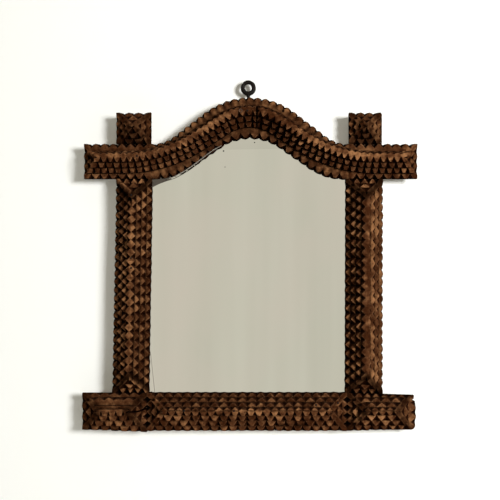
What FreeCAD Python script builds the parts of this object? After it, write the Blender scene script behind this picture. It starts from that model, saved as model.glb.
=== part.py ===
import FreeCAD, Part
import math
import os
import re
import Sketcher
from FreeCAD import Placement, Rotation, Vector

# A wall mirror in a chip-carved frame of stacked wooden strips.
# Millimetres. The model's own frame has X to the right, Z up and the front towards -Y.
# Every sub-part is drawn in front view, x across from the middle plane and y up from the
# frame's foot, and then stood up and moved, so that the hanging ring's centre is the origin.

SIZES = {
    # Thicknesses, from the wall outwards
    "carcass_thickness": 12,
    "strip_thickness": 4.7,
    "glass_thickness": 2.5,
    "backing_thickness": 3,
    # Clearances and seats
    "butt_gap": 0.2,
    "lap_gap": 0.2,
    "glass_gap": 0.5,
    "rebate": 5,
    "carcass_inset": 0.6,
    "arch_inset": 1.3,
    "cut_overrun": 3,
    # Notches: a slanting V, deep in the strip's face, that reaches its back or stops short of it
    "notch_depth": 4.4,
    "notch_foot": 0.9,
    "notch_runout": 0.4,
    "ridge_notch_depth": 3.5,
    "upper_notch_depth": 2.5,
    "apex_notch_depth": 1.6,
    "tooth_tip": 0.5,
    "blunt_tip": 2.2,
    "block_tip": 3.2,
    "corner_margin": 3,
    "base_pitch_outer": 8.45,
    "base_pitch_inner": 9.1,
    "second_pitch_outer": 8.95,
    "second_pitch_inner": 9.65,
    "third_pitch": 9,
    "ridge_pitch": 8,
    "top_second_pitch": 7.6,
    "top_third_pitch": 7.5,
    "top_ridge_pitch": 6.2,
    # Bottom rail, in three blocks
    "rail_height": 38,
    "rail_step": 5,
    "rail_foot_step": 5.8,
    "rail_head_step": 4.2,
    "rail_end_left": 168,
    "rail_end_right": 163,
    "rail_joint_left": 103,
    "rail_joint_right": 97,
    "left_block_foot_drop": 1.2,
    "left_block_foot_rise": 1.3,
    "right_block_head_drop": 2.3,
    "right_block_foot_rise": 1.5,
    # Stiles, measured from the middle plane at their heads and feet
    "stile_step": 4.7,
    "left_head_outer": 134,
    "left_head_inner": 97.9,
    "left_foot_outer": 138,
    "left_foot_inner": 101.4,
    "right_head_outer": 133.2,
    "right_head_inner": 96,
    "right_foot_outer": 132.9,
    "right_foot_inner": 95.4,
    # Top rail: level arms and an arch between them
    "arm_foot": 252.4,
    "arm_height": 34.8,
    "arm_end_left": 166,
    "arm_end_right": 167.5,
    "arch_flat": 1.2,
    "head_rise": 46.7,
    "head_slope": 37.5,
    "head_crown_radius": 74.6,
    "head_shoulder_radius": 34,
    "sill_rise": 41.2,
    "sill_slope": 35,
    "sill_crown_radius": 51,
    "sill_shoulder_radius": 60,
    # Strips stacked on the arch, in two halves that meet at a seam
    "stack_rise": 46,
    "stack_slope": 33,
    "stack_crown_radius": 51,
    "stack_shoulder_radius": 130,
    "stack_lower_width": 12.9,
    "stack_upper_width": 9.2,
    "stack_step": 4.25,
    "stack_upper_step": 2.4,
    "stack_lift": 0.53,
    "seam_offset": 5.8,
    # Stubs above the top rail
    "stub_height": 31.3,
    "stub_step": 4.5,
    "left_stub_width": 35,
    "right_stub_width": 32.5,
    # Screw eye in the crown
    "eye_offset": 1.7,
    "eye_height": 345.6,
    "eye_outer": 15.4,
    "eye_wire": 4,
    "eye_flats": 12,
    "eye_neck": 3,
    "eye_shank": 14,
    "eye_point": 4,
    "eye_hole_gap": 0.2,
}

LAYERS = ("base", "second", "third", "ridge")

os.makedirs("parts", exist_ok=True)
doc = FreeCAD.newDocument("carved_mirror")
sheet = doc.addObject("Spreadsheet::Sheet", "Sizes")
for line, (alias, size) in enumerate(SIZES.items(), start=1):
    sheet.set(f"A{line}", alias)
    sheet.set(f"B{line}", str(size))
    sheet.setAlias(f"B{line}", alias)
doc.recompute()

NAMED = re.compile(r"\b(" + "|".join(SIZES) + r")\b")
bodies = []


def bound(formula):
    """The formula as an expression that reads its named sizes from the sheet."""
    return NAMED.sub(r"Sizes.\1", formula)


def number(formula):
    """The present value of a formula, for a sketch's first drawing."""
    value = sheet.evalExpression(bound(formula))
    return value.Value if hasattr(value, "Value") else float(value)


def new_body(label, level):
    """A body whose back face lies at a level above the carcass's back, stood up to face -Y."""
    body = doc.addObject("PartDesign::Body", label)
    body.Label = label
    body.Placement = Placement(Vector(), Rotation(Vector(1, 0, 0), 90))
    body.setExpression("Placement.Base.x", bound("eye_offset"))
    body.setExpression("Placement.Base.y", bound(f"carcass_thickness / 2 - ({level})"))
    body.setExpression("Placement.Base.z", bound("-eye_height"))
    bodies.append(body)
    return body


def plane(body, role):
    return next(feature for feature in body.Origin.OriginFeatures if feature.Role == role)


def new_sketch(body, name, role="XY_Plane"):
    sketch = body.newObject("Sketcher::SketchObject", name)
    sketch.AttachmentSupport = [(plane(body, role), "")]
    sketch.MapMode = "FlatFace"
    return sketch


def hold(sketch, kind, formula, *places):
    """A dimension of the sketch bound to a formula."""
    index = sketch.addConstraint(Sketcher.Constraint(kind, *places, number(formula)))
    sketch.setExpression(f"Constraints[{index}]", bound(formula))


def draw(sketch, outline):
    """Draws a closed outline, counter-clockwise.

    Each item is (x, y, arc): a corner and, where the edge that leaves it is round, the arc's
    centre x, centre y, radius and turn, 1 counter-clockwise or -1 clockwise.
    """
    count = len(outline)
    corners = [Vector(number(x), number(y), 0) for x, y, arc in outline]
    ends = []
    for index, (x, y, arc) in enumerate(outline):
        start, end = corners[index], corners[(index + 1) % count]
        if arc is None:
            sketch.addGeometry(Part.LineSegment(start, end), False)
            ends.append((1, 2))
            continue
        centre = Vector(number(arc[0]), number(arc[1]), 0)
        first, last = (start, end) if arc[3] > 0 else (end, start)
        angles = [math.atan2(point.y - centre.y, point.x - centre.x) for point in (first, last)]
        circle = Part.Circle(centre, Vector(0, 0, 1), number(arc[2]))
        sketch.addGeometry(Part.ArcOfCircle(circle, angles[0], angles[1]), False)
        ends.append((1, 2) if arc[3] > 0 else (2, 1))
    for index in range(count):
        after = (index + 1) % count
        sketch.addConstraint(Sketcher.Constraint("Coincident", index, ends[index][1], after, ends[after][0]))
    for index, (x, y, arc) in enumerate(outline):
        hold(sketch, "DistanceX", x, -1, 1, index, ends[index][0])
        if arc is None and outline[index - 1][2] is None:
            hold(sketch, "DistanceY", y, -1, 1, index, ends[index][0])
        if arc is not None:
            hold(sketch, "DistanceX", arc[0], -1, 1, index, 3)
            hold(sketch, "DistanceY", arc[1], -1, 1, index, 3)
            hold(sketch, "Radius", arc[2], index)


def pad(body, name, outline, thickness):
    sketch = new_sketch(body, name + "_outline")
    draw(sketch, outline)
    feature = body.newObject("PartDesign::Pad", name)
    feature.Profile = sketch
    feature.setExpression("Length", bound(thickness))
    feature.Refine = False
    return feature


def notch(body, name, across, edge, turned, spacing, teeth):
    """One slanting V cut through a strip, from a triangle drawn on the strip's face.

    The sketch is turned so that its y axis points into the wood. across is the notch's place
    along the sketch's x axis and edge the height of the strip's edge on its y axis.
    """
    depth, foot, tip = teeth["depth"], teeth["foot"], teeth["tip"]
    sketch = new_sketch(body, name + "_triangle")
    sketch.setExpression("AttachmentOffset.Base.x", bound(turned["x"]))
    sketch.setExpression("AttachmentOffset.Base.y", bound(turned["y"]))
    sketch.setExpression("AttachmentOffset.Base.z", bound("strip_thickness"))
    sketch.setExpression("AttachmentOffset.Rotation.Angle", bound(turned["angle"]))
    half_mouth = f"({spacing} - {tip}) / 2 * ({depth} + cut_overrun) / {depth}"
    draw(sketch, [
        (f"{across} - {half_mouth}", f"{edge} - cut_overrun", None),
        (f"{across} + {half_mouth}", f"{edge} - cut_overrun", None),
        (across, f"{edge} + {depth}", None),
    ])
    pocket = body.newObject("PartDesign::Pocket", name)
    pocket.Profile = sketch
    pocket.setExpression("Length", "Sizes.strip_thickness")
    pocket.AlongSketchNormal = True
    pocket.UseCustomVector = True
    lean = f"({depth} - ({foot})) / strip_thickness"
    pocket.Direction = Vector(0, 0, -1)
    pocket.setExpression("Direction.x", bound(f"{lean} * sin({turned['angle']})"))
    pocket.setExpression("Direction.y", bound(f"-{lean} * cos({turned['angle']})"))
    pocket.Refine = False
    return sketch, pocket


def row_of_notches(edge):
    """How many notches fit an edge, their spacing and the plain margin before the first."""
    first_margin, last_margin = edge["margins"]
    room = f"({edge['length']} - {first_margin} - {last_margin})"
    count = f"max(1; round({room} / {edge['teeth']['pitch']}))"
    spacing = f"({room} / {count})"
    first = f"({first_margin} + {spacing} / 2)"
    return count, spacing, first


def row(pitch, foot="-notch_runout", depth="notch_depth", tip="tooth_tip"):
    """The teeth of an edge: how far apart, how deep at the face and the back, how wide at the tip."""
    return {"pitch": pitch, "foot": foot, "depth": depth, "tip": tip}


def straight(name, start, end, teeth, corners=(True, True)):
    """A straight edge with the wood on its left; a corner at an end keeps a plain margin."""
    run = f"({end[0]} - ({start[0]}))"
    climb = f"({end[1]} - ({start[1]}))"
    return {
        "name": name, "start": start, "teeth": teeth, "arc": None,
        "length": f"hypot({run}; {climb})",
        "angle": f"atan2({climb}; {run})",
        "margins": ["corner_margin" if corner else "0" for corner in corners],
    }


def rounded(name, start, arc, start_angle, sweep, teeth):
    """A round edge: its arc's centre x, centre y, radius and turn, first angle and sweep."""
    return {
        "name": name, "start": start, "teeth": teeth, "arc": arc,
        "length": f"({arc[2]} * ({sweep}) / 1deg * pi / 180)",
        "angle": start_angle, "sweep": sweep, "margins": ["0", "0"],
    }


def facets(edge):
    """The corners of a round edge, cut flat from notch to notch as a knife leaves it."""
    centre_x, centre_y, radius, turn = edge["arc"]
    count = row_of_notches(edge)[0]
    corners = [edge["start"]]
    for index in range(int(number(count))):
        angle = f"{edge['angle']} + {turn} * ({edge['sweep']}) * ({index} + 1 / 2) / {count}"
        corners.append((f"{centre_x} + {radius} * cos({angle})", f"{centre_y} + {radius} * sin({angle})"))
    return corners


def cut_straight_row(body, name, edge):
    count, spacing, first = row_of_notches(edge)
    turned = {"x": edge["start"][0], "y": edge["start"][1], "angle": edge["angle"]}
    sketch, pocket = notch(body, name, first, "0", turned, spacing, edge["teeth"])
    if number(count) < 2:
        return
    pattern = body.newObject("PartDesign::LinearPattern", name + "_row")
    pattern.Originals = [pocket]
    pattern.Direction = (sketch, ["H_Axis"])
    pattern.setExpression("Length", bound(f"{spacing} * ({count} - 1)"))
    pattern.setExpression("Occurrences", bound(count))
    pattern.Refine = False
    body.Tip = pattern


def cut_round_row(body, name, edge):
    centre_x, centre_y, radius, turn = edge["arc"]
    count, spacing, first = row_of_notches(edge)
    per_length = f"180deg / pi / ({radius})"
    angle = f"({edge['angle']}) + {turn} * ({first} * {per_length} + 90deg)"
    turned = {"x": centre_x, "y": centre_y, "angle": angle}
    sketch, pocket = notch(body, name, "0", f"{-turn} * ({radius})", turned, spacing, edge["teeth"])
    if number(count) < 2:
        return
    pattern = body.newObject("PartDesign::PolarPattern", name + "_row")
    pattern.Originals = [pocket]
    pattern.Axis = (sketch, ["N_Axis"])
    pattern.Reversed = turn < 0
    pattern.setExpression("Angle", bound(f"{spacing} * ({count} - 1) * {per_length}"))
    pattern.setExpression("Occurrences", bound(count))
    pattern.Refine = False
    body.Tip = pattern


SIDES = ("foot", "right", "head", "left")


def notched_strip(label, layer, edges):
    """A strip cut from thin board, its edges given counter-clockwise, with a V row on each."""
    body = new_body(label, f"carcass_thickness + {layer} * strip_thickness")
    outline = []
    for edge in edges:
        outline += facets(edge) if edge["arc"] else [edge["start"]]
    pad(body, label + "_blank", [(x, y, None) for x, y in outline], "strip_thickness")
    for edge in edges:
        if edge["teeth"]:
            cut = cut_round_row if edge["arc"] else cut_straight_row
            cut(body, f"{label}_{edge['name']}", edge)


def four_sided_strip(label, layer, corners, rows):
    """A strip with four straight sides; a side without a row of teeth stays plain."""
    edges = [
        straight(side, corners[index], corners[(index + 1) % 4], teeth)
        for index, (side, teeth) in enumerate(zip(SIDES, rows))
    ]
    notched_strip(label, layer, edges)


def rectangle(left, right, foot, head):
    return [(left, foot), (right, foot), (right, head), (left, head)]


def inset(corners, layer, side_step, foot_step, head_step):
    """Four corners, each moved inwards by a step per layer: at the sides, the foot and the head."""
    across = (1, -1, -1, 1)
    up = (foot_step, foot_step, f"-{head_step}", f"-{head_step}")
    return [
        (f"{x} + {layer} * {turn} * {side_step}", f"{y} + {layer} * {move}")
        for (x, y), turn, move in zip(corners, across, up)
    ]


def bottom_rail():
    """Three stacks side by side: two end blocks and the long one under the glass."""
    head = "rail_height"
    left_foot = [("-rail_end_left", "left_block_foot_rise"),
                 ("-rail_joint_left - butt_gap", "-left_block_foot_drop")]
    right_foot = [("rail_joint_right + butt_gap", "0"), ("rail_end_right", "right_block_foot_rise")]
    blocks = {
        "bottom_left": rectangle("-rail_end_left", "-rail_joint_left - butt_gap", "0", head),
        "bottom_middle": rectangle("-rail_joint_left", "rail_joint_right", "0", head),
        "bottom_right": rectangle("rail_joint_right + butt_gap", "rail_end_right", "0", head),
    }
    bases = {
        "bottom_left": left_foot + blocks["bottom_left"][2:],
        "bottom_middle": blocks["bottom_middle"],
        "bottom_right": right_foot + [("rail_end_right", "rail_height - right_block_head_drop"),
                                      ("rail_joint_right + butt_gap", head)],
    }
    pitches = ("base_pitch_inner", "second_pitch_inner", "third_pitch", "ridge_pitch")
    depths = ("notch_depth", "notch_depth", "notch_depth", "ridge_notch_depth")
    for name, block in blocks.items():
        foot_tip = "tooth_tip" if name == "bottom_right" else "blunt_tip"
        for layer, title in enumerate(LAYERS):
            placed = inset(block, layer, "rail_step", "rail_foot_step", "rail_head_step")
            corners = bases[name] if title == "base" else placed
            rows = [row(pitches[layer], depth=depths[layer]) for side in SIDES]
            rows[0] = row(pitches[layer], depth=depths[layer], tip=foot_tip)
            if name == "bottom_left" and title in ("third", "ridge"):
                rows[2] = None
            four_sided_strip(f"{name}_{title}_strip", layer, corners, rows)


STILE_HEAD = "(arm_foot - butt_gap)"
STILE_FOOT = "(rail_height + butt_gap)"


def stile_line(side, edge, level):
    """The x of a stile's inner or outer edge, carried on straight to any level."""
    sign = "-" if side == "left" else ""
    head, foot = f"{side}_head_{edge}", f"{side}_foot_{edge}"
    share = f"({STILE_HEAD} - ({level})) / ({STILE_HEAD} - {STILE_FOOT})"
    return f"{sign}({head} + ({foot} - {head}) * {share})"


def stiles():
    """A stack on each side of the glass; the left one leans a little."""
    right_drop = ("right_block_head_drop * (right_foot_outer - rail_joint_right)"
                  " / (rail_end_right - rail_joint_right)")
    left = [("-left_foot_outer", STILE_FOOT), ("-left_foot_inner", STILE_FOOT),
            ("-left_head_inner", STILE_HEAD), ("-left_head_outer", STILE_HEAD)]
    right = [("right_foot_inner", STILE_FOOT), ("right_foot_outer", f"{STILE_FOOT} - {right_drop}"),
             ("right_head_outer", STILE_HEAD), ("right_head_inner", STILE_HEAD)]
    outer = ("base_pitch_outer", "second_pitch_outer", "third_pitch", "ridge_pitch")
    inner = ("base_pitch_inner", "second_pitch_inner", "third_pitch", "ridge_pitch")
    depths = ("notch_depth", "notch_depth", "notch_depth", "ridge_notch_depth")
    for side, corners in (("left", left), ("right", right)):
        towards_glass, away = (1, 3) if side == "left" else (3, 1)
        for layer, title in enumerate(LAYERS):
            rows = [row(outer[layer], depth=depths[layer]) for each in SIDES]
            rows[towards_glass] = row(inner[layer], depth=depths[layer])
            if title == "base":
                rows[away] = row(outer[layer], foot="notch_foot")
            placed = inset(corners, layer, "stile_step", "stile_step", "stile_step")
            four_sided_strip(f"{side}_stile_{title}_strip", layer, placed, rows)


def ogee(side, foot, rise, slope, crown_radius, shoulder_radius, offset="0"):
    """Half of an arch's edge: level arm, hollow shoulder, straight run and round crown.

    The edge passes the level foot at its arms and foot + rise at its crown. offset moves the
    whole edge up, square to itself. Points and centres are formulas, mirrored for side -1.
    """
    radii = f"({crown_radius} + {shoulder_radius})"
    run = f"(({rise} - {radii} * (1 - cos({slope}))) / sin({slope}))"
    reach = f"({radii} * sin({slope}) + {run} * cos({slope}))"
    crown = f"({crown_radius} + {offset})"
    shoulder = f"({shoulder_radius} - ({offset}))"
    crown_level = f"({foot} + {rise} - {crown_radius})"
    shoulder_level = f"({foot} + {shoulder_radius})"
    return {
        "reach": reach,
        "crown": ("0", crown_level, crown),
        "shoulder": (f"{side} * {reach}", shoulder_level, shoulder),
        "crown_end": (f"{side} * {crown} * sin({slope})", f"{crown_level} + {crown} * cos({slope})"),
        "run_end": (f"{side} * ({reach} - {shoulder} * sin({slope}))",
                    f"{shoulder_level} - {shoulder} * cos({slope})"),
        "arm_start": (f"{side} * {reach}", f"{foot} + {offset}"),
        "level": f"({foot} + {offset})",
        "slope": slope,
    }


def head_edge(side, offset="0"):
    """The upper edge of the arch's base strip."""
    return ogee(side, "(arm_foot + arm_height)", "head_rise", "head_slope",
                "head_crown_radius", "head_shoulder_radius", offset)


def sill_edge(side, offset="0"):
    """The lower edge of the arch's base strip, above the glass."""
    return ogee(side, "arm_foot", "sill_rise", "sill_slope",
                "sill_crown_radius", "sill_shoulder_radius", offset)


ARCH_JOINT = f"(max({head_edge(1)['reach']}; {sill_edge(1)['reach']}) + arch_flat)"


def edge_to_the_right(left, right):
    """The corners of a lower arch edge from the left arm's start to the right arm's start."""
    return [
        left["arm_start"] + ((*left["shoulder"], 1),),
        left["run_end"] + (None,),
        left["crown_end"] + ((*left["crown"], -1),),
        right["crown_end"] + (None,),
        right["run_end"] + ((*right["shoulder"], 1),),
        right["arm_start"] + (None,),
    ]


def edge_to_the_left(left, right):
    """The corners of an upper arch edge from the right arm's start to the left arm's start."""
    return [
        right["arm_start"] + ((*right["shoulder"], -1),),
        right["run_end"] + (None,),
        right["crown_end"] + ((*right["crown"], 1),),
        left["crown_end"] + (None,),
        left["run_end"] + ((*left["shoulder"], -1),),
        left["arm_start"] + (None,),
    ]


def lower_edges(half, side, teeth, slope):
    """The edges of a lower arch edge's half, in the order met when walking to the right."""
    crown, shoulder = (*half["crown"], -1), (*half["shoulder"], 1)
    if side > 0:
        return [
            straight("low_run", half["crown_end"], half["run_end"], teeth, (False, False)),
            rounded("low_shoulder", half["run_end"], shoulder, f"270deg - {slope}", slope, teeth),
        ]
    return [
        rounded("low_shoulder", half["arm_start"], shoulder, "270deg", slope, teeth),
        straight("low_run", half["run_end"], half["crown_end"], teeth, (False, False)),
    ]


def upper_edges(half, side, teeth, slope):
    """The edges of an upper arch edge's half, in the order met when walking to the left."""
    shoulder = (*half["shoulder"], -1)
    if side > 0:
        return [
            rounded("high_shoulder", half["arm_start"], shoulder, "270deg", slope, teeth),
            straight("high_run", half["run_end"], half["crown_end"], teeth, (False, False)),
        ]
    return [
        straight("high_run", half["crown_end"], half["run_end"], teeth, (False, False)),
        rounded("high_shoulder", half["run_end"], shoulder, f"270deg + {slope}", slope, teeth),
    ]


def renamed(edges, prefix):
    return [{**edge, "name": f"{prefix}_{edge['name']}"} for edge in edges]


def arch_base_strip():
    """The arched first strip, with notches along both of its edges."""
    low_teeth = row("base_pitch_outer", foot="notch_foot", tip="blunt_tip")
    high_teeth = row("base_pitch_outer", foot="notch_foot")
    low_left, low_right = sill_edge(-1), sill_edge(1)
    high_left, high_right = head_edge(-1), head_edge(1)
    low_slope, high_slope = "sill_slope * 1deg", "head_slope * 1deg"
    feet = ((f"-{ARCH_JOINT}", low_left["level"]), (ARCH_JOINT, low_right["level"]))
    heads = ((ARCH_JOINT, high_right["level"]), (f"-{ARCH_JOINT}", high_left["level"]))
    edges = [straight("foot_left", feet[0], low_left["arm_start"], None)]
    edges += renamed(lower_edges(low_left, -1, low_teeth, low_slope), "left")
    edges += [rounded("low_crown", low_left["crown_end"], (*low_left["crown"], -1),
                      f"90deg + {low_slope}", f"2 * {low_slope}", low_teeth)]
    edges += renamed(lower_edges(low_right, 1, low_teeth, low_slope), "right")
    edges += [straight("foot_right", low_right["arm_start"], feet[1], None),
              straight("right_joint", feet[1], heads[0], None),
              straight("head_right", heads[0], high_right["arm_start"], None)]
    edges += renamed(upper_edges(high_right, 1, high_teeth, high_slope), "right")
    edges += [rounded("high_crown", high_right["crown_end"], (*high_right["crown"], 1),
                      f"90deg - {high_slope}", f"2 * {high_slope}", high_teeth)]
    edges += renamed(upper_edges(high_left, -1, high_teeth, high_slope), "left")
    edges += [straight("head_left", high_left["arm_start"], heads[1], None),
              straight("left_joint", heads[1], feet[0], None)]
    notched_strip("arch_base_strip", 0, edges)


def arm_base_strips():
    """The first strip of each level arm, butted against the arch."""
    head = "(arm_foot + arm_height)"
    foot_teeth = row("base_pitch_outer", tip="blunt_tip")
    end_teeth = row("base_pitch_outer")
    head_teeth = row("base_pitch_outer", foot="notch_foot")
    left = rectangle("-arm_end_left", f"-{ARCH_JOINT} - butt_gap", "arm_foot", head)
    right = rectangle(f"{ARCH_JOINT} + butt_gap", "arm_end_right", "arm_foot", head)
    four_sided_strip("left_arm_base_strip", 0, left, [foot_teeth, None, head_teeth, end_teeth])
    four_sided_strip("right_arm_base_strip", 0, right, [foot_teeth, end_teeth, head_teeth, None])


def arch_stack_strip(side, layer, pitch):
    """One strip of the stack on the arch, from the crown's seam to an arm's end."""
    name = "left" if side < 0 else "right"
    depth = "ridge_notch_depth" if layer == 3 else "notch_depth"
    teeth = row(pitch, depth=depth)
    low_teeth = teeth if layer == 3 else row(pitch, tip="block_tip")
    high_teeth = teeth if layer == 3 else row(pitch, depth="upper_notch_depth")
    lower_width = f"(stack_lower_width - {layer - 1} * stack_step)"
    upper_width = f"(stack_upper_width - {layer - 1} * stack_upper_step)"
    middle = f"(arm_foot + arm_height / 2 + {layer} * stack_lift)"
    sizes = ("stack_rise", "stack_slope", "stack_crown_radius", "stack_shoulder_radius")
    low = ogee(side, middle, *sizes, f"-{lower_width}")
    high = ogee(side, middle, *sizes, upper_width)
    seam = f"(seam_offset + {side} * butt_gap / 2)"
    end = f"({side} * (arm_end_{name} - {layer} * stack_step))"
    seam_low = (seam, f"{low['crown'][1]} + sqrt(pow({low['crown'][2]}; 2) - pow({seam}; 2))")
    seam_high = (seam, f"{high['crown'][1]} + sqrt(pow({high['crown'][2]}; 2) - pow({seam}; 2))")
    end_low, end_high = (end, low["level"]), (end, high["level"])
    slope = "stack_slope * 1deg"
    low_angle = f"asin({seam} / {low['crown'][2]})"
    high_angle = f"asin({seam} / {high['crown'][2]})"
    low_crown, high_crown = (*low["crown"], -1), (*high["crown"], 1)
    if side > 0:
        edges = [rounded("low_crown", seam_low, low_crown,
                         f"90deg - {low_angle}", f"{slope} - {low_angle}", low_teeth)]
        edges += lower_edges(low, side, low_teeth, slope)
        edges += [straight("low_arm", low["arm_start"], end_low, low_teeth, (False, True)),
                  straight("end", end_low, end_high, teeth),
                  straight("high_arm", end_high, high["arm_start"], high_teeth, (True, False))]
        edges += upper_edges(high, side, high_teeth, slope)
        edges += [rounded("high_crown", high["crown_end"], high_crown,
                          f"90deg - {slope}", f"{slope} - {high_angle}", high_teeth),
                  straight("seam", seam_high, seam_low, teeth)]
    else:
        edges = [rounded("high_crown", seam_high, high_crown,
                         f"90deg - {high_angle}", f"{slope} + {high_angle}", high_teeth)]
        edges += upper_edges(high, side, high_teeth, slope)
        edges += [straight("high_arm", high["arm_start"], end_high, high_teeth, (False, True)),
                  straight("end", end_high, end_low, teeth),
                  straight("low_arm", end_low, low["arm_start"], low_teeth, (True, False))]
        edges += lower_edges(low, side, low_teeth, slope)
        edges += [rounded("low_crown", low["crown_end"], low_crown,
                          f"90deg + {slope}", f"{slope} + {low_angle}", low_teeth),
                  straight("seam", seam_low, seam_high, None)]
    notched_strip(f"{name}_arch_{LAYERS[layer]}_strip", layer, edges)


def stubs():
    """The small stacks that end the stiles above the top rail."""
    foot = "(arm_foot + arm_height + butt_gap)"
    head = "(arm_foot + arm_height + stub_height)"
    places = {
        "left": rectangle(f"-{ARCH_JOINT} - left_stub_width", f"-{ARCH_JOINT}", foot, head),
        "right": rectangle(ARCH_JOINT, f"{ARCH_JOINT} + right_stub_width", foot, head),
    }
    teeth = row("base_pitch_outer")
    head_teeth = row("base_pitch_outer", foot="notch_foot")
    apex_teeth = row("base_pitch_outer", depth="apex_notch_depth")
    rows = {
        "base": [teeth, teeth, head_teeth, teeth],
        "second": [teeth] * 4,
        "third": [teeth] * 4,
        "ridge": [apex_teeth, None, apex_teeth, None],
    }
    for side, corners in places.items():
        for layer, title in enumerate(LAYERS):
            placed = inset(corners, layer, "stub_step", "stub_step", "stub_step")
            four_sided_strip(f"{side}_stub_{title}_strip", layer, placed, rows[title])


LAP_DEPTH = "(carcass_thickness / 2 + lap_gap / 2)"


def lap(body, name, corners, from_front):
    """A half-lap housing across a board, cut from its front or from its back."""
    sketch = new_sketch(body, name + "_outline")
    if from_front:
        sketch.setExpression("AttachmentOffset.Base.z", "Sizes.carcass_thickness")
    draw(sketch, [(x, y, None) for x, y in corners])
    pocket = body.newObject("PartDesign::Pocket", name)
    pocket.Profile = sketch
    pocket.setExpression("Length", bound(LAP_DEPTH))
    pocket.Reversed = not from_front
    pocket.Refine = False
    body.Tip = pocket


RAIL_BOARD = ("carcass_inset", "(rail_height - rebate)")
ARM_BOARD = ("(arm_foot + rebate)", "(arm_foot + arm_height - arch_inset)")
STILE_BOARD_FOOT = "(2 * carcass_inset)"
STILE_BOARD_HEAD = "(arm_foot + arm_height + stub_height - carcass_inset)"


def board_edge(side, edge, level):
    """The x of a stile board's edge at a level: inside the carving, or behind the rebate."""
    sign = "+" if side == "left" else "-"
    distance = "carcass_inset" if edge == "outer" else "rebate"
    if edge == "inner":
        sign = "-" if side == "left" else "+"
    return f"({stile_line(side, edge, level)} {sign} {distance})"


def stile_boards():
    """The two upright boards of the carcass, housed in front where the rails cross."""
    for side in ("left", "right"):
        label = f"{side}_stile_board"
        body = new_body(label, "0")
        near, far = ("outer", "inner") if side == "left" else ("inner", "outer")
        corners = [
            (board_edge(side, near, STILE_BOARD_FOOT), STILE_BOARD_FOOT, None),
            (board_edge(side, far, STILE_BOARD_FOOT), STILE_BOARD_FOOT, None),
            (board_edge(side, far, STILE_BOARD_HEAD), STILE_BOARD_HEAD, None),
            (board_edge(side, near, STILE_BOARD_HEAD), STILE_BOARD_HEAD, None),
        ]
        pad(body, label + "_blank", corners, "carcass_thickness")
        for name, (foot, head) in (("bottom", RAIL_BOARD), ("top", ARM_BOARD)):
            low, high = f"{foot} - lap_gap", f"{head} + lap_gap"
            left = f"{board_edge(side, near, head)} - cut_overrun"
            right = f"{board_edge(side, far, head)} + cut_overrun"
            lap(body, f"{label}_{name}_lap", rectangle(left, right, low, high), True)


def rail_laps(body, label, foot, head):
    """Housings behind a rail board, each as wide as the stile board that it takes."""
    for side in ("left", "right"):
        near, far = ("outer", "inner") if side == "left" else ("inner", "outer")
        low, high = f"({foot} - cut_overrun)", f"({head} + cut_overrun)"
        corners = [
            (f"{board_edge(side, near, low)} - lap_gap", low),
            (f"{board_edge(side, far, low)} + lap_gap", low),
            (f"{board_edge(side, far, high)} + lap_gap", high),
            (f"{board_edge(side, near, high)} - lap_gap", high),
        ]
        lap(body, f"{label}_{side}_lap", corners, False)


def bottom_board():
    label = "bottom_rail_board"
    body = new_body(label, "0")
    foot, head = RAIL_BOARD
    corners = rectangle("-rail_end_left + carcass_inset", "rail_end_right - carcass_inset", foot, head)
    pad(body, label + "_blank", [(x, y, None) for x, y in corners], "carcass_thickness")
    rail_laps(body, label, foot, head)


def top_board():
    """The arched board of the carcass, with the pilot hole for the screw eye."""
    label = "top_rail_board"
    body = new_body(label, "0")
    foot, head = ARM_BOARD
    left_end, right_end = "-arm_end_left + carcass_inset", "arm_end_right - carcass_inset"
    low_left, low_right = sill_edge(-1, "rebate"), sill_edge(1, "rebate")
    high_left, high_right = head_edge(-1, "-arch_inset"), head_edge(1, "-arch_inset")
    outline = [(left_end, foot, None)]
    outline += edge_to_the_right(low_left, low_right)
    outline += [(right_end, foot, None), (right_end, head, None)]
    outline += edge_to_the_left(high_left, high_right)
    outline += [(left_end, head, None)]
    pad(body, label + "_blank", outline, "carcass_thickness")
    rail_laps(body, label, foot, head)
    crown = "(arm_foot + arm_height + head_rise)"
    sketch = new_sketch(body, label + "_pilot_circle", "XZ_Plane")
    sketch.setExpression("AttachmentOffset.Base.z", bound(f"-{crown}"))
    sketch.addGeometry(Part.Circle(Vector(), Vector(0, 0, 1), number("(eye_neck + eye_hole_gap) / 2")), False)
    hold(sketch, "Radius", "(eye_neck + eye_hole_gap) / 2", 0)
    hold(sketch, "DistanceX", "-eye_offset", -1, 1, 0, 3)
    hold(sketch, "DistanceY", "carcass_thickness / 2", -1, 1, 0, 3)
    hole = body.newObject("PartDesign::Pocket", label + "_pilot")
    hole.Profile = sketch
    hole.setExpression("Length", bound(f"{crown} - {EYE_TIP} + eye_hole_gap"))
    hole.Reversed = True
    hole.Refine = False
    body.Tip = hole


def opening_outline(gap):
    """The space between the boards, less a gap all round: the outline of glass and backing."""
    foot, head = f"(rail_height - rebate + {gap})", f"(arm_foot + rebate - {gap})"
    left, right = sill_edge(-1, f"rebate - {gap}"), sill_edge(1, f"rebate - {gap}")
    outline = [
        (f"{board_edge('left', 'inner', foot)} + {gap}", foot, None),
        (f"{board_edge('right', 'inner', foot)} - {gap}", foot, None),
        (f"{board_edge('right', 'inner', head)} - {gap}", head, None),
        right["arm_start"] + ((*right["shoulder"], -1),),
        right["run_end"] + (None,),
        right["crown_end"] + ((*right["crown"], 1),),
        left["crown_end"] + (None,),
        left["run_end"] + ((*left["shoulder"], -1),),
        left["arm_start"] + (None,),
        (f"{board_edge('left', 'inner', head)} + {gap}", head, None),
    ]
    return outline


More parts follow.
